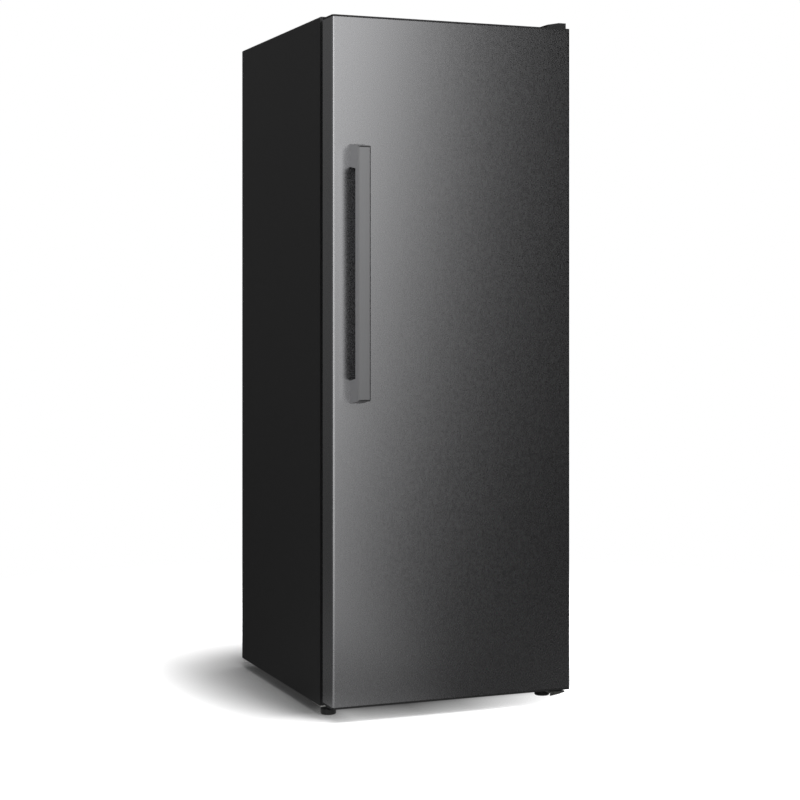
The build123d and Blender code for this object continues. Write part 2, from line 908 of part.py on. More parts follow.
with BuildPart() as compressor_bolts:
    bolt_base = deck_z - bolt_nut_t
    bolt_top = strap_z + strap_t + grommet_cap_h
    for base, height, radius in (
        (bolt_base, bolt_top - bolt_base, bolt_r),
        (bolt_top, bolt_head_t, bolt_head_r),
        (bolt_base, bolt_nut_t, bolt_head_r),
    ):
        with BuildSketch(Plane.XY.offset(base)):
            with Locations(mount_place):
                with GridLocations(mount_dx, mount_dy, 2, 2):
                    if radius == bolt_r:
                        Circle(radius)
                    else:
                        RegularPolygon(radius, 6)
        extrude(amount=height)

# The relay cover on the can's right side, with the bushed inlet for the supply lead
relay_x = compressor_x + can_w / 2
with BuildPart() as relay_cover:
    with BuildSketch(Plane.XY.offset(strap_z + relay_z)):
        with Locations((relay_x - seam_out, bay_mid_y)):
            Rectangle(relay_w, relay_d, align=(Align.MIN, Align.CENTER))
        fillet(vertices().group_by(Axis.X)[-1], relay_r)
    extrude(amount=relay_h)
    with BuildSketch(upright(bay_mid_y + relay_d / 2)):
        with Locations((relay_x + relay_w / 2, strap_z + relay_z + relay_h / 3)):
            Circle(inlet_r)
    extrude(amount=-inlet_len, taper=inlet_taper)
    with BuildSketch(upright(bay_mid_y + relay_d / 2 + inlet_len)):
        with Locations((relay_x + relay_w / 2, strap_z + relay_z + relay_h / 3)):
            Circle(inlet_hole_r)
    extrude(amount=2 * inlet_len, mode=Mode.SUBTRACT)
    add(compressor.part, mode=Mode.SUBTRACT)

# The tray on the warm compressor, where the drained water dries up
with BuildPart() as drip_tray:
    with BuildSketch(Plane.XY.offset(can_top)):
        with Locations(mount_place):
            RectangleRounded(tray_w, tray_d, tray_r)
    extrude(amount=tray_h)
    fillet(faces().sort_by(Axis.Z)[0].edges(), 2 * tray_wall)
    offset(amount=-tray_wall, openings=faces().sort_by(Axis.Z)[-1])

# The condenser: one winding tube behind the cabinet, with upright wires welded to both sides
outlet_x = run_x + leg_r
with BuildPart() as condenser_tube:
    with BuildLine(upright(condenser_y)) as winding:
        Line((-outlet_x, leg_z), (-outlet_x, condenser_z - leg_r))
        CenterArc((-run_x, condenser_z - leg_r), leg_r, 180, -90)
        for n in range(passes):
            side = -1 if n % 2 else 1
            pass_z = condenser_z + n * pass_pitch
            Line((-side * run_x, pass_z), (side * run_x, pass_z))
            if n < passes - 1:
                CenterArc((side * run_x, pass_z + pass_pitch / 2), pass_pitch / 2, -90, side * 180)
        corner_x = -run_x - pass_pitch / 2 - leg_gap / 2 + leg_r
        Line((-run_x, condenser_top), (corner_x, condenser_top))
        CenterArc((corner_x, condenser_top - leg_r), leg_r, 90, 90)
        Line((corner_x - leg_r, condenser_top - leg_r), (corner_x - leg_r, leg_z))
    with BuildSketch(Plane(origin=winding.line @ 0, z_dir=winding.line % 0)):
        RegularPolygon(tube_r, 8)
    sweep()

# The condenser's upright wires, pressed slightly into the tube at each weld
wire_places = [(n - (wire_count - 1) / 2) * wire_pitch for n in range(wire_count)]
wire_off = tube_r + wire_r - weld_in
with BuildPart() as condenser_wires:
    with BuildSketch(Plane.XY.offset(condenser_z - wire_over)):
        with Locations(*[(x, condenser_y + side * wire_off) for x in wire_places for side in (-1, 1)]):
            RegularPolygon(wire_r, 6, major_radius=False, rotation=30)
    extrude(amount=condenser_top - condenser_z + 2 * wire_over)

# Clips that hold the condenser off the back panel
panel_y = back_y - sheet_t
clip_reach = condenser_back + sheet_t + tube_r + clip_back
with BuildPart() as condenser_clips:
    for clip_z in (condenser_z + pass_pitch, condenser_top - pass_pitch):
        for side in (-1, 1):
            with BuildSketch(Plane.YZ.offset(side * clip_wires * wire_pitch)):
                with Locations((panel_y, clip_z)):
                    Rectangle(clip_reach, clip_h, align=(Align.MIN, Align.CENTER))
                with Locations((condenser_y, clip_z)):
                    Circle(tube_r + clip_play, mode=Mode.SUBTRACT)
                    Rectangle(clip_h, clip_mouth, align=(Align.MIN, Align.CENTER), mode=Mode.SUBTRACT)
            extrude(amount=clip_w / 2, both=True)

# The drier hangs from the condenser's outlet, with a cone at each end
drier_z = leg_z - drier_len
with BuildPart() as filter_drier:
    with BuildSketch(upright(condenser_y)):
        with BuildLine():
            Polyline(
                (-outlet_x, leg_z),
                (-outlet_x + tube_r + stub_wall, leg_z),
                (-outlet_x + drier_r, leg_z - drier_cone),
                (-outlet_x + drier_r, drier_z + drier_cone),
                (-outlet_x + capillary_r + stub_wall, drier_z),
                (-outlet_x, drier_z),
                close=True,
            )
        make_face()
    revolve(axis=Axis((-outlet_x, condenser_y, 0), (0, 0, 1)))

# Pipes between the condenser, the compressor and the cooling plate
stub_end = stub_face - stub_len
discharge_y = bay_mid_y + stub_side
inlet_x = corner_x - leg_r
discharge_path = [
    (inlet_x, condenser_y, leg_z),
    (inlet_x, condenser_y, strap_z + discharge_z),
    (suction_place[0], discharge_y, strap_z + discharge_z),
    (stub_end, discharge_y, strap_z + discharge_z),
]
with BuildPart() as discharge_pipe:
    add(pipe(discharge_path, tube_r, 8))

suction_path = [
    (stub_end, suction_place[1], strap_z + suction_z),
    (*suction_place, strap_z + suction_z),
    (*suction_place, bay_top + pipe_in),
]
with BuildPart() as suction_pipe:
    add(pipe(suction_path, suction_r, 8))

capillary_path = [
    (-outlet_x, condenser_y, drier_z),
    (-outlet_x, condenser_y, drier_z - 1.5 * pipe_bend_r),
    (*capillary_place, drier_z - 1.5 * pipe_bend_r),
    (*capillary_place, bay_top + pipe_in),
]
with BuildPart() as capillary_tube:
    add(pipe(capillary_path, capillary_r, 6))

# Spacers that keep the condenser off the wall
with BuildPart() as wall_spacers:
    with BuildSketch(upright(panel_y)):
        with Locations((-spacer_x, spacer_z), (spacer_x, spacer_z)):
            RectangleRounded(spacer_w, spacer_h, fold_r)
    extrude(amount=-(spacer_reach + sheet_t), taper=spacer_draft)

# Insulation in the cabinet, with pockets for all that reaches into it
with BuildPart() as cabinet_foam:
    with BuildSketch(upright(front_y + sheet_t)):
        with Locations((0, bottom_z + sheet_t)):
            add(arch(cabinet_w - 2 * sheet_t, cabinet_h - 2 * sheet_t, corner_r - sheet_t))
    extrude(amount=-(cabinet_d - 3 * sheet_t))
    with BuildSketch(Plane.XY.offset(bottom_z)):
        with Locations((0, bay_mid_y)):
            Rectangle(2 * bay_x, bay_d)
    extrude(amount=bay_h, mode=Mode.SUBTRACT)
    with BuildSketch(upright(in_back + liner_t)):
        with Locations((0, evaporator_z + evaporator_h / 2)):
            Rectangle(evaporator_w + 2 * evaporator_gap, evaporator_h + 2 * evaporator_gap)
    extrude(amount=-(evaporator_t + channel_t + 2 * evaporator_gap), mode=Mode.SUBTRACT)
    with BuildSketch(Plane.XY.offset(bay_top)):
        with Locations((0, drain_y)):
            Circle(drain_r + pipe_room)
    extrude(amount=bay_roof, mode=Mode.SUBTRACT)
    with BuildSketch(Plane.XY.offset(bay_top)):
        with Locations(suction_place):
            Circle(suction_r + pipe_room)
        with Locations(capillary_place):
            Circle(capillary_r + pipe_room)
    extrude(amount=pipe_in + pipe_room, mode=Mode.SUBTRACT)
    with BuildSketch(Plane.XY.offset(bottom_z)):
        with Locations(*foot_places):
            Circle(stud_r + stud_room)
    extrude(amount=stud_top + stud_room - bottom_z, mode=Mode.SUBTRACT)
    for piece in (liner_outside, base_pan, base_screws, top_hinge_screws, hinge_hole_plugs):
        add(piece.part, mode=Mode.SUBTRACT)
    add(solids().sort_by(SortBy.VOLUME)[-1], mode=Mode.REPLACE)

# The housing of the light and the temperature control, under the ceiling
housing_y = front_y + housing_setback
housing_z = in_top - housing_h
knob_z = in_top - housing_h / 2 - knob_gap
lens_y = housing_y + lens_back
with BuildPart() as control_housing:
    with BuildSketch(Plane.YZ):
        with BuildLine():
            Polyline(
                (housing_y, in_top),
                (housing_y, housing_z + housing_chin),
                (housing_y + housing_chin, housing_z),
                (housing_y + housing_d - housing_h, housing_z),
                (housing_y + housing_d, in_top - housing_chin),
                (housing_y + housing_d, in_top),
                close=True,
            )
        make_face()
    extrude(amount=housing_w / 2, both=True)
    rims = faces().filter_by(Axis.X).edges()
    fillet(rims.filter_by(lambda edge: edge.center().Z < in_top - 1), housing_chin / 2)
    offset(amount=-housing_t, openings=faces().sort_by(Axis.Z)[-1])
    with BuildSketch(upright(housing_y)):
        with Locations((knob_x, knob_z)):
            Circle(stem_r + knob_gap)
    extrude(amount=-2 * housing_t, mode=Mode.SUBTRACT)
    with BuildSketch(Plane.XY.offset(housing_z)):
        with Locations((lens_x, lens_y)):
            Rectangle(lens_w, lens_d)
    extrude(amount=housing_t, mode=Mode.SUBTRACT)

with BuildPart() as thermostat:
    with BuildSketch(upright(housing_y + housing_t)):
        with Locations((knob_x, knob_z)):
            RectangleRounded(thermostat_w, thermostat_h, fold_r)
            Circle(stem_r + pin_play, mode=Mode.SUBTRACT)
    extrude(amount=-thermostat_d)

with BuildPart() as thermostat_knob:
    with BuildSketch(upright(housing_y - knob_gap)):
        with Locations((knob_x, knob_z)):
            Circle(knob_r)
    extrude(amount=knob_disc_t)
    chamfer(faces().sort_by(Axis.Y)[0].edges(), fold_r / 2)
    with BuildSketch(upright(housing_y - knob_gap)):
        with Locations((knob_x, knob_z)):
            SlotOverall(2 * knob_r - 1, knob_grip_w, rotation=90)
    extrude(amount=knob_t, taper=3)
    with BuildSketch(upright(housing_y - knob_gap)):
        with Locations((knob_x, knob_z)):
            Circle(stem_r)
    extrude(amount=-stem_len)

# The lens stands in an opening of the housing; the board with the lights lies on its walls
lens_z = housing_z - lens_drop
with BuildPart() as lamp_cover:
    with BuildSketch(Plane.XY.offset(lens_z)):
        with Locations((lens_x, lens_y)):
            Rectangle(lens_w, lens_d)
    extrude(amount=lens_h)
    fillet(faces().sort_by(Axis.Z)[0].edges(), 1.5 * lens_wall)
    offset(amount=-lens_wall, openings=faces().sort_by(Axis.Z)[-1])
    with BuildSketch(Plane.XY.offset(housing_z + housing_t)):
        with Locations((lens_x, lens_y)):
            Rectangle(lens_w + 2 * lens_rim, lens_d + 2 * lens_rim)
            Rectangle(lens_w - lens_wall, lens_d - lens_wall, mode=Mode.SUBTRACT)
    extrude(amount=board_t)

with BuildPart() as lamp_board:
    with BuildSketch(Plane.XY.offset(lens_z + lens_h)):
        with Locations((lens_x, lens_y)):
            Rectangle(lens_w, lens_d)
    extrude(amount=board_t)
    with BuildSketch(Plane.XY.offset(lens_z + lens_h)):
        with Locations((lens_x, lens_y)):
            with GridLocations(lens_w / light_count, 1, light_count, 1):
                Rectangle(light_w, light_w)
    extrude(amount=-light_t)

# Glass shelves on the liner's ledges, and the glass over the drawer, which also lies on the step
shelf_front = front_y + shelf_setback
shelf_back = in_back - shelf_back_gap
shelf_half = in_x - shelf_side_gap
with BuildPart() as glass_shelves:
    for level in shelf_levels:
        with BuildSketch(Plane.XY.offset(level)):
            with Locations((0, (shelf_front + shelf_back) / 2)):
                RectangleRounded(2 * shelf_half, shelf_back - shelf_front, fold_r)
        extrude(amount=glass_t)

with BuildPart() as crisper_cover:
    with BuildSketch(Plane.XY.offset(step_z)):
        with Locations((0, shelf_front)):
            Rectangle(2 * shelf_half, step_y - step_cover_end - shelf_front, align=(Align.CENTER, Align.MIN))
            Rectangle(2 * step_cover_half, in_back - liner_r - shelf_front, align=(Align.CENTER, Align.MIN))
    extrude(amount=glass_t)

# Trims: a channel along each front edge, and a raised one along the back edge of the shelves
with BuildPart() as shelf_trims:
    for level in (step_z, *shelf_levels):
        for base, height, half in (
            (level, glass_t + trim_t, shelf_half),
            (level - trim_t, trim_t, lip_half),
        ):
            with BuildSketch(Plane.XY.offset(base)):
                with Locations((0, shelf_front - trim_t)):
                    Rectangle(2 * half, trim_t + trim_wrap, align=(Align.CENTER, Align.MIN))
            extrude(amount=height)
    for level in shelf_levels:
        for base, height, depth in (
            (level - trim_t, glass_t + 2 * trim_t, trim_t + trim_wrap),
            (level, glass_t + trim_upstand, trim_t),
        ):
            with BuildSketch(Plane.XY.offset(base)):
                with Locations((0, shelf_back + trim_t)):
                    Rectangle(2 * lip_half, depth, align=(Align.CENTER, Align.MAX))
            extrude(amount=height)
    add(glass_shelves.part, mode=Mode.SUBTRACT)
    add(crisper_cover.part, mode=Mode.SUBTRACT)

# The crisper drawer, with a grip slot in its front
crisper_front = front_y + crisper_setback
crisper_rear = step_y - crisper_back_gap
crisper_z = in_floor + crisper_lift
with BuildPart() as crisper:
    with BuildSketch(Plane.YZ):
        with BuildLine():
            Polyline(
                (crisper_front, crisper_z),
                (crisper_rear - crisper_lean, crisper_z),
                (crisper_rear, crisper_z + crisper_h),
                (crisper_front, crisper_z + crisper_h),
                close=True,
            )
        make_face()
        fillet(vertices().group_by(Axis.Y)[0], crisper_r)
    extrude(amount=in_x - crisper_side_gap, both=True)
    rims = faces().filter_by(Axis.X).edges()
    fillet(rims.filter_by(lambda edge: edge.center().Z < crisper_z + crisper_h - 1), crisper_edge_r)
    offset(amount=-crisper_wall, openings=faces().sort_by(Axis.Z)[-1])
    with BuildSketch(upright(crisper_front)):
        with Locations((0, crisper_z + crisper_h - 1.5 * grip_h)):
            SlotOverall(grip_w, grip_h)
    extrude(amount=-2 * crisper_wall, mode=Mode.SUBTRACT)

# Handle: screws from inside the door through two posts, and a flat bar across them. Its ends slant:
# it is longest at the door.
handle_x = -side_x + handle_inset + handle_w / 2
handle_z = bottom_z + handle_foot
post_mids = [handle_z + post_len / 2, handle_z + handle_len - post_len / 2]
handle_screw_places = [(handle_x, z + side * handle_screw_gap / 2) for z in post_mids for side in (-1, 1)]
with BuildPart() as handle_screws:
    with BuildSketch(upright(door_front + sheet_t)):
        with Locations(*handle_screw_places):
            Circle(handle_screw_head_r)
    extrude(amount=-handle_screw_head_t)
    with BuildSketch(upright(door_front + sheet_t)):
        with Locations(*handle_screw_places):
            Circle(handle_screw_r)
    extrude(amount=handle_screw_len)

bar_back = door_front - handle_standoff + bar_t
post_rise = handle_slant * (handle_standoff - bar_t) / handle_standoff
handle_mid = handle_z + handle_len / 2
with BuildPart() as handle_posts:
    with BuildSketch(Plane.YZ.offset(handle_x)):
        with BuildLine():
            Polyline(
                (door_front, handle_z),
                (door_front, handle_z + post_len),
                (bar_back, handle_z + post_len + post_rise),
                (bar_back, handle_z + post_rise),
                close=True,
            )
        make_face()
    extrude(amount=handle_w / 2, both=True)
    mirror(about=Plane.XY.offset(handle_mid))
    add(handle_screws.part, mode=Mode.SUBTRACT)

with BuildPart() as handle_bar:
    with BuildSketch(Plane.YZ.offset(handle_x)):
        with BuildLine():
            Polyline(
                (bar_back, handle_z + post_rise),
                (bar_back - bar_t, handle_z + handle_slant),
                (bar_back - bar_t, handle_z + handle_len - handle_slant),
                (bar_back, handle_z + handle_len - post_rise),
                close=True,
            )
        make_face()
    extrude(amount=handle_w / 2, both=True)
    chamfer(faces().sort_by(Axis.Y)[0].edges(), bar_edge)

# The door's sheet: one panel folded round both sides, with narrow returns at the back
door_h = door_z1 - door_z0
skin_outline = [
    (-side_x + door_return, door_rear),
    (-side_x, door_rear),
    (-side_x, door_front),
    (side_x, door_front),
    (side_x, door_rear),
    (side_x - door_return, door_rear),
]
with BuildPart() as door_skin:
    with BuildSketch(Plane.XY.offset(door_z0 + cap_t)):
        add(folded(skin_outline, [door_back_r, door_bend_r, door_bend_r, door_back_r], sheet_t))
    extrude(amount=door_h - 2 * cap_t)
    with BuildSketch(upright(door_front)):
        with Locations(*handle_screw_places):
            Circle(handle_screw_r + screw_play)
    extrude(amount=-2 * sheet_t, mode=Mode.SUBTRACT)


def door_cap(outer_z, inward):
    """An end cap: a plate, a skirt inside the sheet, the socket of a bush and a plug over the spare one."""
    skirt_front = door_front + skirt_inset
    skirt_d = inner_door - liner_t - skirt_play - skirt_front
    skirt_w = 2 * (side_x - skirt_inset)
    with BuildPart() as cap:
        with BuildSketch(Plane.XY.offset(outer_z)):
            with Locations((0, (door_front + door_rear) / 2)):
                Rectangle(cabinet_w, door_t)
            fillet(vertices().group_by(Axis.Y)[0], door_bend_r)
            fillet(vertices().group_by(Axis.Y)[-1], door_back_r)
        extrude(amount=inward * cap_t)
        with BuildSketch(Plane.XY.offset(outer_z + inward * cap_t)):
            with Locations((0, skirt_front + skirt_d / 2)):
                RectangleRounded(skirt_w, skirt_d, door_bend_r)
                Rectangle(skirt_w - 2 * cap_skirt_t, skirt_d - 2 * cap_skirt_t, mode=Mode.SUBTRACT)
        extrude(amount=inward * cap_skirt_h)
        with BuildSketch(Plane.XY.offset(outer_z)):
            with Locations((hinge_x, hinge_y)):
                Circle(cap_boss_r)
        extrude(amount=inward * (bush_len + cap_boss_over))
        with BuildSketch(Plane.XY.offset(outer_z)):
            with Locations((hinge_x, hinge_y)):
                Circle(bush_r)
        extrude(amount=inward * bush_len, mode=Mode.SUBTRACT)
        with BuildSketch(Plane.XY.offset(outer_z)):
            with Locations((-hinge_x, hinge_y)):
                Circle(bush_r)
        extrude(amount=-inward * plug_head_t, taper=head_taper)
    return cap


door_bottom_cap = door_cap(door_z0, 1)
door_top_cap = door_cap(door_z1, -1)

with BuildPart() as hinge_bushes:
    for outer_z, length in ((door_z0, bush_len), (door_z1, -bush_len)):
        with BuildSketch(Plane.XY.offset(outer_z)):
            with Locations((hinge_x, hinge_y)):
                Circle(bush_r)
                Circle(pin_r + pin_play, mode=Mode.SUBTRACT)
        extrude(amount=length)


def ridge_form(shrink):
    """The ridge round the inner door, thinner by shrink on every side; it starts that much deeper."""
    with BuildPart() as ridge:
        with BuildSketch(upright(inner_door - shrink)):
            with Locations((0, ridge_z + ridge_h / 2)):
                RectangleRounded(ridge_w - 2 * shrink, ridge_h - 2 * shrink, ridge_r - shrink)
        extrude(amount=-ridge_out, taper=ridge_draft)
        with BuildSketch(upright(inner_door - shrink)):
            with Locations((0, ridge_z + ridge_h / 2)):
                RectangleRounded(
                    ridge_w - 2 * ridge_t + 2 * shrink,
                    ridge_h - 2 * ridge_t + 2 * shrink,
                    ridge_in_r + shrink,
                )
        extrude(amount=-ridge_out, taper=-ridge_draft, mode=Mode.SUBTRACT)
        fillet(faces().sort_by(Axis.Y)[-1].edges(), ridge_edge_r - shrink)
    return ridge.part


def ring(width, depth):
    """A rectangular ring behind the inner door's face, centred on the line of the seal's dart."""
    run_in = seal_inset + dart_at + dart_w / 2
    with BuildPart() as frame_ring:
        with BuildSketch(upright(inner_door)):
            with Locations((0, (door_z0 + door_z1) / 2)):
                Rectangle(cabinet_w - 2 * run_in + width, door_h - 2 * run_in + width)
                Rectangle(
                    cabinet_w - 2 * run_in - width, door_h - 2 * run_in - width, mode=Mode.SUBTRACT
                )
        extrude(amount=depth)
    return frame_ring.part


# The inner door: a formed panel with a channel for the seal, a ridge, and bosses for the racks
slot_w = dart_w + 2 * dart_play
slot_in = dart_in + dart_play
seal_channel = ring(slot_w + 2 * channel_wall, slot_in + channel_wall)
boss_x = ridge_w / 2 - ridge_t - boss_out
boss_root = boss_out + boss_back * math.tan(math.radians(ridge_draft)) + liner_t / 2
boss_base = pad_h - boss_h - pad_t
all_racks = (bottle_rack_z, *rack_levels)
with BuildPart() as door_liner:
    with BuildSketch(upright(inner_door)):
        with Locations((0, (door_z0 + door_z1) / 2)):
            Rectangle(2 * (side_x - door_back_r - liner_play), door_h - 2 * cap_t)
    extrude(amount=liner_t)
    add(seal_channel)
    add(ridge_form(0))
    for side in (-1, 1):
        with BuildSketch(Plane.YZ.offset(side * boss_x)):
            with Locations(*[(inner_door + boss_back, z + boss_base + boss_h / 2) for z in all_racks]):
                RectangleRounded(boss_w, boss_h, fold_r)
        extrude(amount=side * boss_root)
    add(ridge_form(liner_t), mode=Mode.SUBTRACT)
    add(ring(slot_w, slot_in), mode=Mode.SUBTRACT)

# Insulation in the door, filling the ridge too
foam_front = door_front + sheet_t
with BuildPart() as door_foam:
    with BuildSketch(Plane.XY.offset(door_z0 + cap_t)):
        with Locations((0, (foam_front + inner_door - liner_t) / 2)):
            Rectangle(cabinet_w - 2 * sheet_t, inner_door - liner_t - foam_front)
        fillet(vertices().group_by(Axis.Y)[0], door_bend_r - sheet_t)
    extrude(amount=door_h - 2 * cap_t)
    add(ridge_form(liner_t))
    add(seal_channel, mode=Mode.SUBTRACT)
    for piece in (door_bottom_cap, door_top_cap, hinge_bushes, handle_screws):
        add(piece.part, mode=Mode.SUBTRACT)
    add(solids().sort_by(SortBy.VOLUME)[-1], mode=Mode.REPLACE)

# The door seal: one mitred loop with a dart in the channel, a bellows and a magnet chamber
seal_half = side_x - seal_inset
seal_end = seal_inset + door_z0
seal_h = door_gap + sheet_t - seal_gap
magnet_in = seal_waist - magnet_inset
dart_end = dart_at + dart_w
with BuildPart() as door_seal:
    with BuildLine(upright(inner_door)):
        Polyline(
            (-seal_half, seal_end),
            (-seal_half, door_z1 - seal_inset),
            (seal_half, door_z1 - seal_inset),
            (seal_half, seal_end),
            close=True,
        )
    with BuildSketch(Plane(origin=(seal_half, inner_door, seal_end), x_dir=(0, 0, 1), z_dir=(-1, 0, 0))):
        with BuildLine():
            Polyline(
                (0, 0),
                (dart_at, 0),
                (dart_at, -dart_in),
                (dart_end, -dart_in),
                (dart_end, 0),
                (seal_w, 0),
                (seal_w, seal_lip_t),
                (seal_w - magnet_in, seal_rise),
                (seal_w - seal_waist, waist_h),
                (seal_w - magnet_in, seal_h - magnet_h),
                (seal_w - magnet_inset, seal_h - magnet_h),
                (seal_w - magnet_inset, seal_h),
                (magnet_inset, seal_h),
                (magnet_inset, seal_h - magnet_h),
                (magnet_in, seal_h - magnet_h),
                (seal_waist, waist_h),
                (magnet_in, seal_rise),
                (0, seal_lip_t),
                close=True,
            )
        make_face()
    sweep(transition=Transition.RIGHT)

# Racks that hang on the bosses, and lift off upwards
rack_y = inner_door + rack_play
rack_half = boss_x - rack_play


def rack(level, height, rear_h, bow):
    """An open rack with a bowed or straight front, a low back, and a slotted pad on each side."""
    with BuildPart() as tray:
        with BuildSketch(Plane.XY.offset(level)) as outline:
            with BuildLine():
                Polyline(
                    (-rack_half, rack_y + rack_d - bow),
                    (-rack_half, rack_y),
                    (rack_half, rack_y),
                    (rack_half, rack_y + rack_d - bow),
                )
                if bow:
                    ThreePointArc(
                        (rack_half, rack_y + rack_d - bow),
                        (0, rack_y + rack_d),
                        (-rack_half, rack_y + rack_d - bow),
                    )
                else:
                    Line((rack_half, rack_y + rack_d), (-rack_half, rack_y + rack_d))
            make_face()
            fillet(outline.vertices().group_by(Axis.Y)[-1], rack_r)
            fillet(outline.vertices().group_by(Axis.Y)[0], rack_foot_r)
        extrude(amount=height)
        fillet(faces().sort_by(Axis.Z)[0].edges(), rack_foot_r - 1)
        offset(amount=-rack_wall, openings=faces().sort_by(Axis.Z)[-1])
        with BuildSketch(Plane.YZ):
            with BuildLine():
                Polyline(
                    (rack_y - 1, level + rear_h),
                    (rack_y + rack_slope, level + rear_h),
                    (rack_y + 2 * rack_slope, level + height + 1),
                    (rack_y - 1, level + height + 1),
                    close=True,
                )
            make_face()
        extrude(amount=2 * rack_half, both=True, mode=Mode.SUBTRACT)
        for side in (-1, 1):
            with BuildSketch(Plane.YZ.offset(side * (rack_half - rack_wall / 2))):
                with Locations((inner_door + boss_back, level + boss_base - pad_drop + pad_h / 2)):
                    RectangleRounded(pad_w, pad_h, fold_r)
            extrude(amount=side * (pad_t + rack_wall / 2))
            with BuildSketch(Plane.YZ.offset(side * (rack_half + pad_gap))):
                with Locations((inner_door + boss_back, level + boss_base + boss_h + slot_play)):
                    Rectangle(boss_w + 2 * slot_play, 2 * pad_h, align=(Align.CENTER, Align.MAX))
            extrude(amount=side * 2 * pad_t, mode=Mode.SUBTRACT)
    return tray


rack_lower = rack(rack_levels[0], rack_h, rack_rear_h, rack_bow)
rack_middle = rack(rack_levels[1], rack_h, rack_rear_h, rack_bow)
rack_upper = rack(rack_levels[2], rack_h, rack_rear_h, rack_bow)
bottle_rack = rack(bottle_rack_z, bottle_rack_h, bottle_rack_rear_h, 0)

# The divider that slides along the bottle rack's front
rim_z = bottle_rack_z + bottle_rack_h
rim_out = rack_y + rack_d
rim_in = rim_out - rack_wall
blade_y = rim_in - divider_play
with BuildPart() as bottle_divider:
    with BuildSketch(Plane.YZ):
        with Locations((blade_y, rim_z + divider_play)):
            Rectangle(divider_d, divider_h, align=(Align.MAX, Align.MAX))
        fillet(vertices().group_by(Axis.X)[0], rack_r)
    extrude(amount=divider_t / 2, both=True)
    with BuildSketch(Plane.YZ):
        with Locations((rim_out + divider_play + divider_t, rim_z + divider_play + divider_t)):
            Rectangle(
                rack_wall + 2 * (divider_play + divider_t),
                divider_hook_h,
                align=(Align.MAX, Align.MAX),
            )
        with Locations((rim_out + divider_play, rim_z + divider_play)):
            Rectangle(
                rack_wall + 2 * divider_play,
                divider_hook_h,
                align=(Align.MAX, Align.MAX),
                mode=Mode.SUBTRACT,
            )
    extrude(amount=divider_hook_w / 2, both=True)

finished = dict(
    outer_shell=outer_shell,
    cabinet_foam=cabinet_foam,
    cabinet_liner=cabinet_liner,
    back_panel=back_panel,
    base_pan=base_pan,
    machine_housing=machine_housing,
    glass_shelves=glass_shelves,
    crisper_cover=crisper_cover,
    shelf_trims=shelf_trims,
    drain_tube=drain_tube,
    evaporator_plate=evaporator_plate,
    control_housing=control_housing,
    thermostat=thermostat,
    thermostat_knob=thermostat_knob,
    lamp_board=lamp_board,
    lamp_cover=lamp_cover,
    compressor=compressor,
    compressor_mounts=compressor_mounts,
    compressor_bolts=compressor_bolts,
    relay_cover=relay_cover,
    condenser_tube=condenser_tube,
    condenser_wires=condenser_wires,
    condenser_clips=condenser_clips,
    filter_drier=filter_drier,
    suction_pipe=suction_pipe,
    discharge_pipe=discharge_pipe,
    capillary_tube=capillary_tube,
    drip_tray=drip_tray,
    compressor_deck=compressor_deck,
    roller_axles=roller_axles,
    roller_left=roller_left,
    roller_right=roller_right,
    foot_plate=foot_plate,
    foot_left=foot_left,
    foot_right=foot_right,
    wall_spacers=wall_spacers,
    base_screws=base_screws,
    top_hinge=top_hinge,
    top_hinge_screws=top_hinge_screws,
    hinge_cover=hinge_cover,
    hinge_hole_plugs=hinge_hole_plugs,
    bottom_hinge=bottom_hinge,
    hinge_pin=hinge_pin,
    hinge_washer=hinge_washer,
    hinge_bushes=hinge_bushes,
    door_skin=door_skin,
    door_foam=door_foam,
    door_liner=door_liner,
    door_top_cap=door_top_cap,
    door_bottom_cap=door_bottom_cap,
    door_seal=door_seal,
    handle_bar=handle_bar,
    handle_posts=handle_posts,
    handle_screws=handle_screws,
    rack_lower=rack_lower,
    rack_middle=rack_middle,
    rack_upper=rack_upper,
    bottle_rack=bottle_rack,
    bottle_divider=bottle_divider,
    crisper=crisper,
)
for name, piece in finished.items():
    piece.part.label = name
    export_step(piece.part, f"parts/{name}.step")
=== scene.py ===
import json
import math

import bpy
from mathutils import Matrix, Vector


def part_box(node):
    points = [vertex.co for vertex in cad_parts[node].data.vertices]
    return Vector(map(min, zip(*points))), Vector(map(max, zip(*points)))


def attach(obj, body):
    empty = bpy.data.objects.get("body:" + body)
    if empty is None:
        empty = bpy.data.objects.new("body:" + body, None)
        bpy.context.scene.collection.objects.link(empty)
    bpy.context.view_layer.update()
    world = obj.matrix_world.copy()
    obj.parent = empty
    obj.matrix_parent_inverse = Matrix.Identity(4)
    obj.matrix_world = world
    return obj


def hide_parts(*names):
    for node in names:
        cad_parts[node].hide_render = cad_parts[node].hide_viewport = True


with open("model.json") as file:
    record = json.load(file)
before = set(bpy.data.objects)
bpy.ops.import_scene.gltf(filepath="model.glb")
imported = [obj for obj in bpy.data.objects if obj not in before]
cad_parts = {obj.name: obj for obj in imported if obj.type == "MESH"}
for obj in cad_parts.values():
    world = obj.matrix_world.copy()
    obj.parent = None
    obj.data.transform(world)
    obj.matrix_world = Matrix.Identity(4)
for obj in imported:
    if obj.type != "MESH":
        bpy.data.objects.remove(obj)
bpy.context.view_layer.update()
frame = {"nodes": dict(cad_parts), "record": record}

nodes = frame["nodes"]
scene = bpy.context.scene

# Finishes: how a noise value becomes a colour or a roughness
NOISE_LOW = 0.3
NOISE_HIGH = 0.7
GRAIN_DETAIL = 3.0
GRAIN_ROUGH = 0.5
BLUE_CAST = 1.02
CLEAR_WAVES = 60
CLEAR_DIP = 0.985

# Clear pieces: the gap under them, and which faces count as undersides
LIE_GAP = 0.0004
UNDER_NORMAL = -0.9

# Numbers on the thermostat knob's disc
NUMBER_SIZE = 0.0042
NUMBER_RING = 0.0098
NUMBER_TURNS = (215, 180, 145, 35, 0, -35)
PRINT_T = 0.0001
DISC_FRONT = 0.005

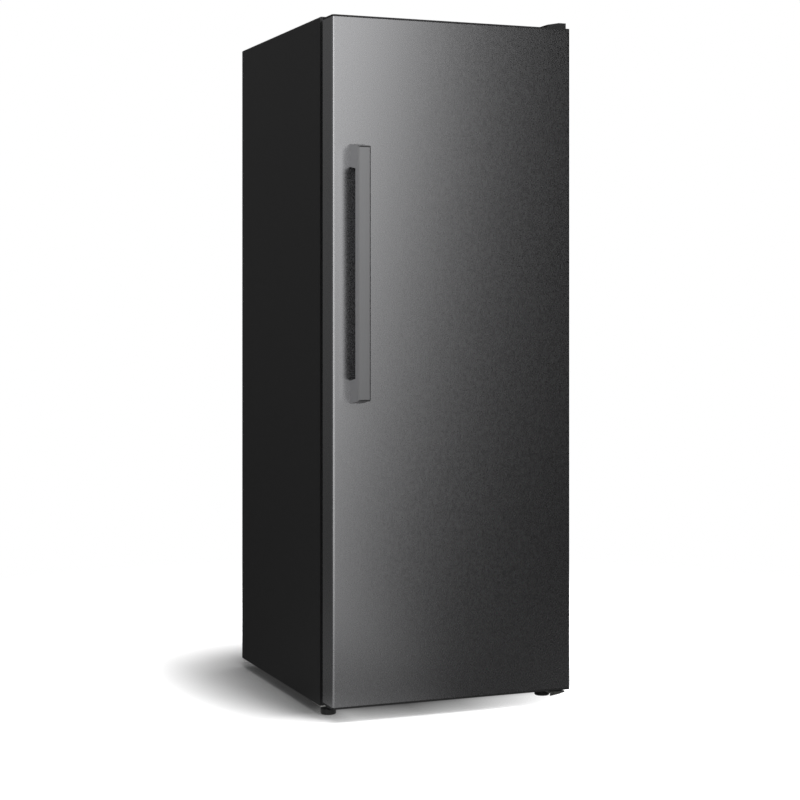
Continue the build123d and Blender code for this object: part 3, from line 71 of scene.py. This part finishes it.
# The floor's painted shade near the object, from occlusion darkening its colour, and where it
# gives way to plain white
SHOWN = ("Is Camera Ray", "Is Glossy Ray", "Is Transmission Ray")
WORLD_DIM = 0.12
FLOOR_EDGE = 12.0
FLOOR_DIM = 0.35
FLOOR_LEVEL = 2.3
FLOOR_LEAST = 0.035
FLOOR_NEAR = 0.9
FLOOR_FAR = 2.0
# Painted shade: the floor's colour darkens with the object's occlusion, this far and this strongly
PAINTED_SHADE_REACH = 0.4
PAINTED_SHADE_DEPTH = 1.6
PAINTED_SHADE_SAMPLES = 4

# Painted light under the front, a glow on the floor: by place from the left to the right, and by
# depth
PAINTED_SPILL = (
    (0.16, 0.0),
    (0.24, 0.2),
    (0.3, 0.12),
    (0.42, 0.06),
    (0.56, 0.18),
    (0.7, 0.5),
    (0.8, 0.8),
)
PAINTED_SPILL_HALF = 0.4
PAINTED_SPILL_BACK = -0.12
PAINTED_SPILL_FRONT = -0.22
# Painted light: a glow on the floor that grows from under the front edge to before it
PAINTED_EDGE_BACK = -0.19
PAINTED_EDGE_FRONT = -0.29
PAINTED_EDGE_LIGHT = 0.27

# Shades of the screen by azimuth, in degrees from the front towards the right: at the floor
# near the object, at its foot, and at its top
SCREEN = (
    (-180, 0.2, 0.3, 0.35),
    (-172, 0.06, 0.1, 0.18),
    (-165, 0.07, 0.06, 0.13),
    (-150, 0.07, 0.045, 0.1),
    (-135, 0.08, 0.08, 0.17),
    (-115, 0.09, 0.12, 0.25),
    (-90, 0.07, 0.07, 0.13),
    (-66, 0.12, 0.15, 0.3),
    (-52, 0.4, 0.9, 1.8),
    (-40, 0.4, 0.9, 1.9),
    (-19, 0.2, 0.7, 1.4),
    (-9, 0.16, 0.7, 0.7),
    (1, 0.1, 1.1, 0.95),
    (8, 0.06, 0.87, 1.53),
    (12, 0.05, 0.28, 1.58),
    (14.5, 0.05, 0.0, 1.27),
    (17.3, 0.05, 0.0, 0.61),
    (20.6, 0.05, 0.0, 0.05),
    (23.8, 0.05, 0.0, 0.0),
    (34, 0.06, 0.04, 0.0),
    (60, 0.06, 0.0, 0.0),
    (110, 0.05, 0.03, 0.03),
    (150, 0.2, 0.3, 0.35),
    (180, 0.2, 0.3, 0.35),
)
SCREEN_R = 2.6
SCREEN_H = 1.9
SCREEN_TOP = 3.4
SCREEN_INNER = 0.1
SCREEN_NEAR = 0.6
SCREEN_LIFT = 0.002
SCREEN_STEP = 2
LID_R = 1.8
LID_Z = 3.6
LID_SHADE = 0.12

# Lamps: place, target, side of the square, radiance
LAMPS = {
    "front_box": ((1.3, -3.4, 1.5), (0.0, -0.1, 0.8), 2.0, 9.0),
    "top_box": ((0.2, -0.4, 6.0), (0.0, 0.0, 0.0), 1.3, 40.0),
}

# The camera, as solved from the photograph: lengths in pixels of its square frame
PHOTO_SIDE = 800
FOCAL = 1816.55
HORIZON = 303.71
SENSOR = 36.0
CAMERA_PLACE = (-1.4890, -3.71015, 0.8367)
CAMERA_TURN = -21.88
CAMERA_REACH = 60


def add(tree, kind, inputs, **settings):
    """A new node with its settings, each input a value or the socket that feeds it."""
    made = tree.nodes.new(kind)
    for name, value in settings.items():
        setattr(made, name, value)
    for name, value in inputs.items():
        if isinstance(value, bpy.types.NodeSocket):
            tree.links.new(value, made.inputs[name])
        else:
            made.inputs[name].default_value = value
    return made


def stops(ramp, steps):
    """Set the stops of a colour ramp, each a position and a colour."""
    elements = ramp.color_ramp.elements
    elements.remove(elements[1])
    for number, (part, colour) in enumerate(steps):
        stop = elements[0] if number == 0 else elements.new(part)
        stop.position = part
        stop.color = (*colour, 1)


def start(name):
    """A new material with its shader, and the node tree to wire up."""
    made = bpy.data.materials.new(name)
    made.use_nodes = True
    tree = made.node_tree
    return made, tree, tree.nodes["Principled BSDF"]


def grain(tree, waves, stretch=(1, 1, 1)):
    """Noise over the object's own coordinates, in waves per metre, stretched along the axes."""
    place = tree.nodes.new("ShaderNodeTexCoord")
    fit = add(
        tree, "ShaderNodeMapping", {"Scale": stretch, "Vector": place.outputs["Object"]}
    )
    size = {"Scale": waves, "Detail": GRAIN_DETAIL, "Roughness": GRAIN_ROUGH}
    return add(tree, "ShaderNodeTexNoise", {**size, "Vector": fit.outputs["Vector"]})


def vary_colour(tree, shader, noise, low, high):
    """The base colour runs from low to high with the noise."""
    ramp = add(tree, "ShaderNodeValToRGB", {"Fac": noise.outputs["Fac"]})
    stops(ramp, ((NOISE_LOW, low), (NOISE_HIGH, high)))
    tree.links.new(ramp.outputs["Color"], shader.inputs["Base Color"])


def vary_rough(tree, shader, noise, low, high):
    """The roughness runs from low to high with the noise."""
    ends = {"From Min": NOISE_LOW, "From Max": NOISE_HIGH, "To Min": low, "To Max": high}
    span = add(tree, "ShaderNodeMapRange", {**ends, "Value": noise.outputs["Fac"]})
    tree.links.new(span.outputs["Result"], shader.inputs["Roughness"])


def bumps(tree, shader, noise, height):
    """The noise as relief, height in metres."""
    size = {"Strength": 1.0, "Distance": height}
    bump = add(tree, "ShaderNodeBump", {**size, "Height": noise.outputs["Fac"]})
    tree.links.new(bump.outputs["Normal"], shader.inputs["Normal"])


def finish(name, low, high, rough, metal=0.0, level=0.5, waves=400, stretch=(1, 1, 1), relief=0.0):
    """An opaque finish: a colour and a roughness that vary a little, and some relief."""
    made, tree, shader = start(name)
    noise = grain(tree, waves, stretch)
    vary_colour(tree, shader, noise, low, high)
    vary_rough(tree, shader, noise, *rough)
    shader.inputs["Metallic"].default_value = metal
    shader.inputs["Specular IOR Level"].default_value = level
    if relief:
        bumps(tree, shader, noise, relief)
    return made


def clear(name, tint, rough, ior=1.5):
    """A see-through finish with faint waviness in its roughness."""
    made, tree, shader = start(name)
    noise = grain(tree, CLEAR_WAVES)
    vary_colour(tree, shader, noise, tuple(CLEAR_DIP * c for c in tint), tint)
    vary_rough(tree, shader, noise, *rough)
    shader.inputs["Transmission Weight"].default_value = 1.0
    shader.inputs["IOR"].default_value = ior
    return made


def grey(value):
    """A grey with a slight cast of blue."""
    return (value, value, value * BLUE_CAST)


def metal_finish(name, low, high, rough, metal=1.0, relief=0.00002, **more):
    """A finish of bare or plated metal."""
    return finish(name, low, high, rough, metal=metal, relief=relief, **more)


# One finish for each material slot
by_slot = {
    "outer_shell": finish(
        "cabinet_paint", grey(0.038), grey(0.043), (0.4, 0.46), level=0.3, waves=500, relief=3e-5
    ),
    "back_panel": metal_finish(
        "back_sheet", grey(0.3), grey(0.33), (0.4, 0.5), metal=0.7, waves=120
    ),
    "machine_housing": metal_finish(
        "zinc_sheet", grey(0.42), grey(0.52), (0.3, 0.5), metal=0.9, waves=90
    ),
    "foam": finish(
        "hard_foam",
        (0.75, 0.66, 0.42),
        (0.8, 0.72, 0.5),
        (0.85, 0.95),
        level=0.2,
        waves=700,
        relief=4e-4,
    ),
    "white_plastic": finish(
        "liner_white",
        (0.74, 0.755, 0.76),
        (0.76, 0.775, 0.78),
        (0.3, 0.36),
        waves=300,
        relief=3e-5,
    ),
    "steel": metal_finish(
        "plated_steel", (0.5, 0.5, 0.48), (0.6, 0.6, 0.58), (0.25, 0.4), waves=300
    ),
    "black_metal": finish(
        "black_paint", grey(0.008), grey(0.013), (0.3, 0.42), waves=350, relief=6e-5
    ),
    "rubber": finish(
        "black_rubber", grey(0.012), grey(0.018), (0.7, 0.8), level=0.3, waves=700, relief=6e-5
    ),
    "black_plastic": finish(
        "black_plastic", grey(0.012), grey(0.016), (0.4, 0.5), waves=900, relief=4e-5
    ),
    "copper": metal_finish(
        "copper", (0.55, 0.25, 0.15), (0.72, 0.38, 0.25), (0.22, 0.42), waves=120
    ),
    "clear_plastic": clear("clear_plastic", (0.95, 0.965, 0.975), (0.06, 0.1), ior=1.45),
    "glass": clear("pane_glass", (0.93, 0.985, 0.965), (0.01, 0.03)),
    "aluminium": metal_finish("aluminium", grey(0.6), grey(0.7), (0.3, 0.45), waves=200),
    "grey_plastic": finish(
        "cap_plastic", grey(0.014), grey(0.018), (0.42, 0.5), level=0.35, waves=900, relief=4e-5
    ),
    "seal_grey": finish(
        "seal_rubber", grey(0.05), grey(0.06), (0.6, 0.7), level=0.3, waves=600, relief=4e-5
    ),
    "door_sheet": metal_finish(
        "door_steel",
        grey(0.41),
        grey(0.43),
        (0.25, 0.29),
        waves=300,
        stretch=(1, 1, 0.6),
        relief=4e-6,
    ),
    "handle_grey": metal_finish(
        "handle_steel",
        grey(0.29),
        grey(0.31),
        (0.28, 0.33),
        waves=30,
        stretch=(40, 40, 1.2),
        relief=1e-5,
    ),
}
by_slot["base_pan"] = by_slot["outer_shell"]

for part in frame["record"]["subparts"]:
    piece = nodes[part["node"]]
    piece.data.materials.clear()
    piece.data.materials.append(by_slot[part["material_slot"]])


def laid(node, body):
    """A see-through piece that stands for the node, its undersides lifted by the gap."""
    mesh = nodes[node].data.copy()
    mesh.name = node + "_clear"
    under = {v for face in mesh.polygons if face.normal.z < UNDER_NORMAL for v in face.vertices}
    for index in under:
        mesh.vertices[index].co.z += LIE_GAP
    piece = bpy.data.objects.new(node + "_clear", mesh)
    scene.collection.objects.link(piece)
    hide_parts(node)
    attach(piece, body)


# Clear pieces that lie on a liner: in its very plane, their undersides would look dark
laid("crisper_cover", "cabinet")
laid("glass_shelves", "cabinet")
laid("crisper", "drawer")


def knob_numbers():
    """Plain numbers round the thermostat knob, printed on its disc."""
    ink = finish("print_grey", grey(0.09), grey(0.11), (0.5, 0.6), level=0.4, waves=900)
    knob_low, knob_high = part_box("thermostat_knob")
    middle = (knob_low + knob_high) / 2
    middle.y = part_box("control_housing")[0].y - DISC_FRONT
    for number, degrees in enumerate(NUMBER_TURNS):
        name = f"knob_number_{number}"
        text = bpy.data.curves.new(name, "FONT")
        text.body = str(number)
        text.size = NUMBER_SIZE
        text.extrude = PRINT_T
        text.align_x = "CENTER"
        text.align_y = "CENTER"
        text.materials.append(ink)
        digit = bpy.data.objects.new(name, text)
        scene.collection.objects.link(digit)
        turn = math.radians(degrees)
        digit.location = middle + Vector((math.cos(turn), 0, math.sin(turn))) * NUMBER_RING
        digit.rotation_euler = (math.radians(90), 0, 0)
        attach(digit, "control_knob")


knob_numbers()


def ray_switch(tree):
    """1 for the rays that show a surface, and 0 for those that only light others."""
    path = tree.nodes.new("ShaderNodeLightPath")
    value = path.outputs[SHOWN[0]]
    for name in SHOWN[1:]:
        both = {0: value, 1: path.outputs[name]}
        value = add(tree, "ShaderNodeMath", both, operation="MAXIMUM").outputs[0]
    return value


def spilled_light(tree, place):
    """The floor's painted light, a glow: least all over, more under the front and before it."""
    apart = add(tree, "ShaderNodeSeparateXYZ", {0: place})
    ends = {"From Min": -PAINTED_SPILL_HALF, "From Max": PAINTED_SPILL_HALF}
    across = add(tree, "ShaderNodeMapRange", {**ends, "Value": apart.outputs["X"]})
    painted_spill_ramp = add(tree, "ShaderNodeValToRGB", {"Fac": across.outputs["Result"]})
    stops(painted_spill_ramp, [(part, (shade, shade, shade)) for part, shade in PAINTED_SPILL])
    ends = {"From Min": PAINTED_SPILL_BACK, "From Max": PAINTED_SPILL_FRONT}
    front = add(
        tree,
        "ShaderNodeMapRange",
        {**ends, "Value": apart.outputs["Y"]},
        interpolation_type="SMOOTHSTEP",
    )
    ends = {"From Min": PAINTED_EDGE_BACK, "From Max": PAINTED_EDGE_FRONT}
    ends.update({"To Min": FLOOR_LEAST, "To Max": FLOOR_LEAST + PAINTED_EDGE_LIGHT})
    painted_edge = add(tree, "ShaderNodeMapRange", {**ends, "Value": apart.outputs["Y"]})
    terms = {0: painted_spill_ramp.outputs["Color"], 1: front.outputs["Result"], 2: painted_edge.outputs["Result"]}
    painted_lift = add(tree, "ShaderNodeMath", terms, operation="MULTIPLY_ADD").outputs[0]
    seen = {0: ray_switch(tree), 1: painted_lift}
    return add(tree, "ShaderNodeMath", seen, operation="MULTIPLY").outputs[0]


def pale_floor():
    """White all over: painted shade from occlusion near the object, the lamps' real shadow, and
    plain white further away.
    """
    made, tree, shader = start("floor_look")
    tree.nodes.remove(shader)
    place = tree.nodes.new("ShaderNodeTexCoord").outputs["Object"]
    # Painted shade: occlusion by the object darkens the floor's colour near it
    painted_shade = add(
        tree, "ShaderNodeAmbientOcclusion", {"Distance": PAINTED_SHADE_REACH}, samples=PAINTED_SHADE_SAMPLES
    )
    depth = {0: painted_shade.outputs["AO"], 1: PAINTED_SHADE_DEPTH}
    deeper = add(tree, "ShaderNodeMath", depth, operation="POWER").outputs[0]
    shown = add(tree, "ShaderNodeMath", {0: deeper, 1: FLOOR_LEVEL}, operation="MULTIPLY")
    sides = {"Factor": ray_switch(tree), "A": FLOOR_DIM, "B": shown.outputs[0]}
    level = add(tree, "ShaderNodeMix", sides)
    lit = add(tree, "ShaderNodeBsdfDiffuse", {"Color": level.outputs["Result"]})
    # Painted light: the glow added under the front and before it
    glow = add(tree, "ShaderNodeEmission", {"Strength": spilled_light(tree, place)})
    near = add(tree, "ShaderNodeAddShader", {0: lit.outputs[0], 1: glow.outputs[0]})
    span = add(tree, "ShaderNodeMapRange", {"To Min": WORLD_DIM, "Value": ray_switch(tree)})
    far = add(tree, "ShaderNodeEmission", {"Strength": span.outputs["Result"]})
    reach = add(tree, "ShaderNodeVectorMath", {0: place}, operation="LENGTH")
    ends = {"From Min": FLOOR_NEAR, "From Max": FLOOR_FAR, "Value": reach.outputs["Value"]}
    blend = add(tree, "ShaderNodeMapRange", ends, interpolation_type="SMOOTHSTEP")
    both = {"Fac": blend.outputs["Result"], 1: near.outputs[0], 2: far.outputs[0]}
    mix = add(tree, "ShaderNodeMixShader", both)
    tree.links.new(mix.outputs[0], tree.nodes["Material Output"].inputs["Surface"])
    return made


def staged(name, verts, faces, look):
    """A piece of the stage."""
    mesh = bpy.data.meshes.new(name)
    mesh.from_pydata(verts, [], faces)
    mesh.materials.append(look)
    made = bpy.data.objects.new(name, mesh)
    scene.collection.objects.link(made)
    return made


corners = [(FLOOR_EDGE * x, FLOOR_EDGE * y, 0) for x, y in ((-1, -1), (1, -1), (1, 1), (-1, 1))]
staged("floor", corners, [(0, 1, 2, 3)], pale_floor())


def screen_shades(azimuth):
    """The screen's three shades at an azimuth, between its stops."""
    for (before, *low), (after, *high) in zip(SCREEN, SCREEN[1:]):
        if azimuth <= after:
            part = (azimuth - before) / (after - before)
            return [x + (y - x) * part for x, y in zip(low, high)]
    return list(SCREEN[-1][1:])


def screen_look():
    """A glow as strong as the mesh's own shade."""
    look, tree, shader = start("screen_look")
    tree.nodes.remove(shader)
    shade = add(tree, "ShaderNodeAttribute", {}, attribute_name="shade")
    glow = add(tree, "ShaderNodeEmission", {"Strength": shade.outputs["Fac"]})
    tree.links.new(glow.outputs[0], tree.nodes["Material Output"].inputs["Surface"])
    return look


def graded_screen():
    """A round screen, its floor and its lid, which only reflections show."""
    levels = (
        (SCREEN_INNER, SCREEN_LIFT),
        (SCREEN_NEAR, SCREEN_LIFT),
        (SCREEN_R, SCREEN_LIFT),
        (SCREEN_R, SCREEN_H),
        (SCREEN_R, SCREEN_TOP),
        (LID_R, LID_Z),
        (SCREEN_INNER, LID_Z),
    )
    verts, shades, faces = [], [], []
    for azimuth in range(-180, 181, SCREEN_STEP):
        turn = math.radians(azimuth)
        verts += [(r * math.sin(turn), -r * math.cos(turn), z) for r, z in levels]
        near, foot, head = screen_shades(azimuth)
        shades += [near, near, foot, head, head, LID_SHADE, LID_SHADE]
    rows = len(levels)
    for first in range(0, len(verts) - rows, rows):
        for low in range(first, first + rows - 1):
            faces.append((low, low + 1, low + rows + 1, low + rows))
    made = staged("screen", verts, faces, screen_look())
    layer = made.data.attributes.new("shade", "FLOAT", "POINT")
    layer.data.foreach_set("value", shades)
    made.visible_camera = False
    made.visible_diffuse = False
    made.visible_shadow = False
    made.visible_transmission = False


graded_screen()


def lamp(name, place, target, side, radiance):
    """A soft square light of that radiance, aimed at the target, which reflections don't show."""
    data = bpy.data.lights.new(name, "AREA")
    data.shape = "RECTANGLE"
    data.size = side
    data.size_y = side
    data.energy = radiance * math.pi * side * side
    made = bpy.data.objects.new(name, data)
    scene.collection.objects.link(made)
    made.location = place
    made.rotation_euler = (Vector(target) - Vector(place)).to_track_quat("-Z", "Y").to_euler()
    made.visible_camera = False
    made.visible_glossy = False


for name, values in LAMPS.items():
    lamp(name, *values)

world = bpy.data.worlds.new("studio")
scene.world = world
world.use_nodes = True
sky = world.node_tree
sky.nodes["Background"].inputs["Color"].default_value = (1, 1, 1, 1)
sky_level = add(sky, "ShaderNodeMapRange", {"To Min": WORLD_DIM, "Value": ray_switch(sky)})
sky.links.new(sky_level.outputs["Result"], sky.nodes["Background"].inputs["Strength"])

lens = bpy.data.cameras.new("camera")
lens.sensor_width = SENSOR
lens.lens = FOCAL / PHOTO_SIDE * SENSOR
lens.shift_y = -(PHOTO_SIDE / 2 - HORIZON) / PHOTO_SIDE
lens.clip_end = CAMERA_REACH
camera = bpy.data.objects.new("camera", lens)
scene.collection.objects.link(camera)
camera.location = CAMERA_PLACE
camera.rotation_euler = (math.radians(90), 0, math.radians(CAMERA_TURN))
scene.camera = camera
scene.view_settings.view_transform = "Standard"
scene.view_settings.look = "None"
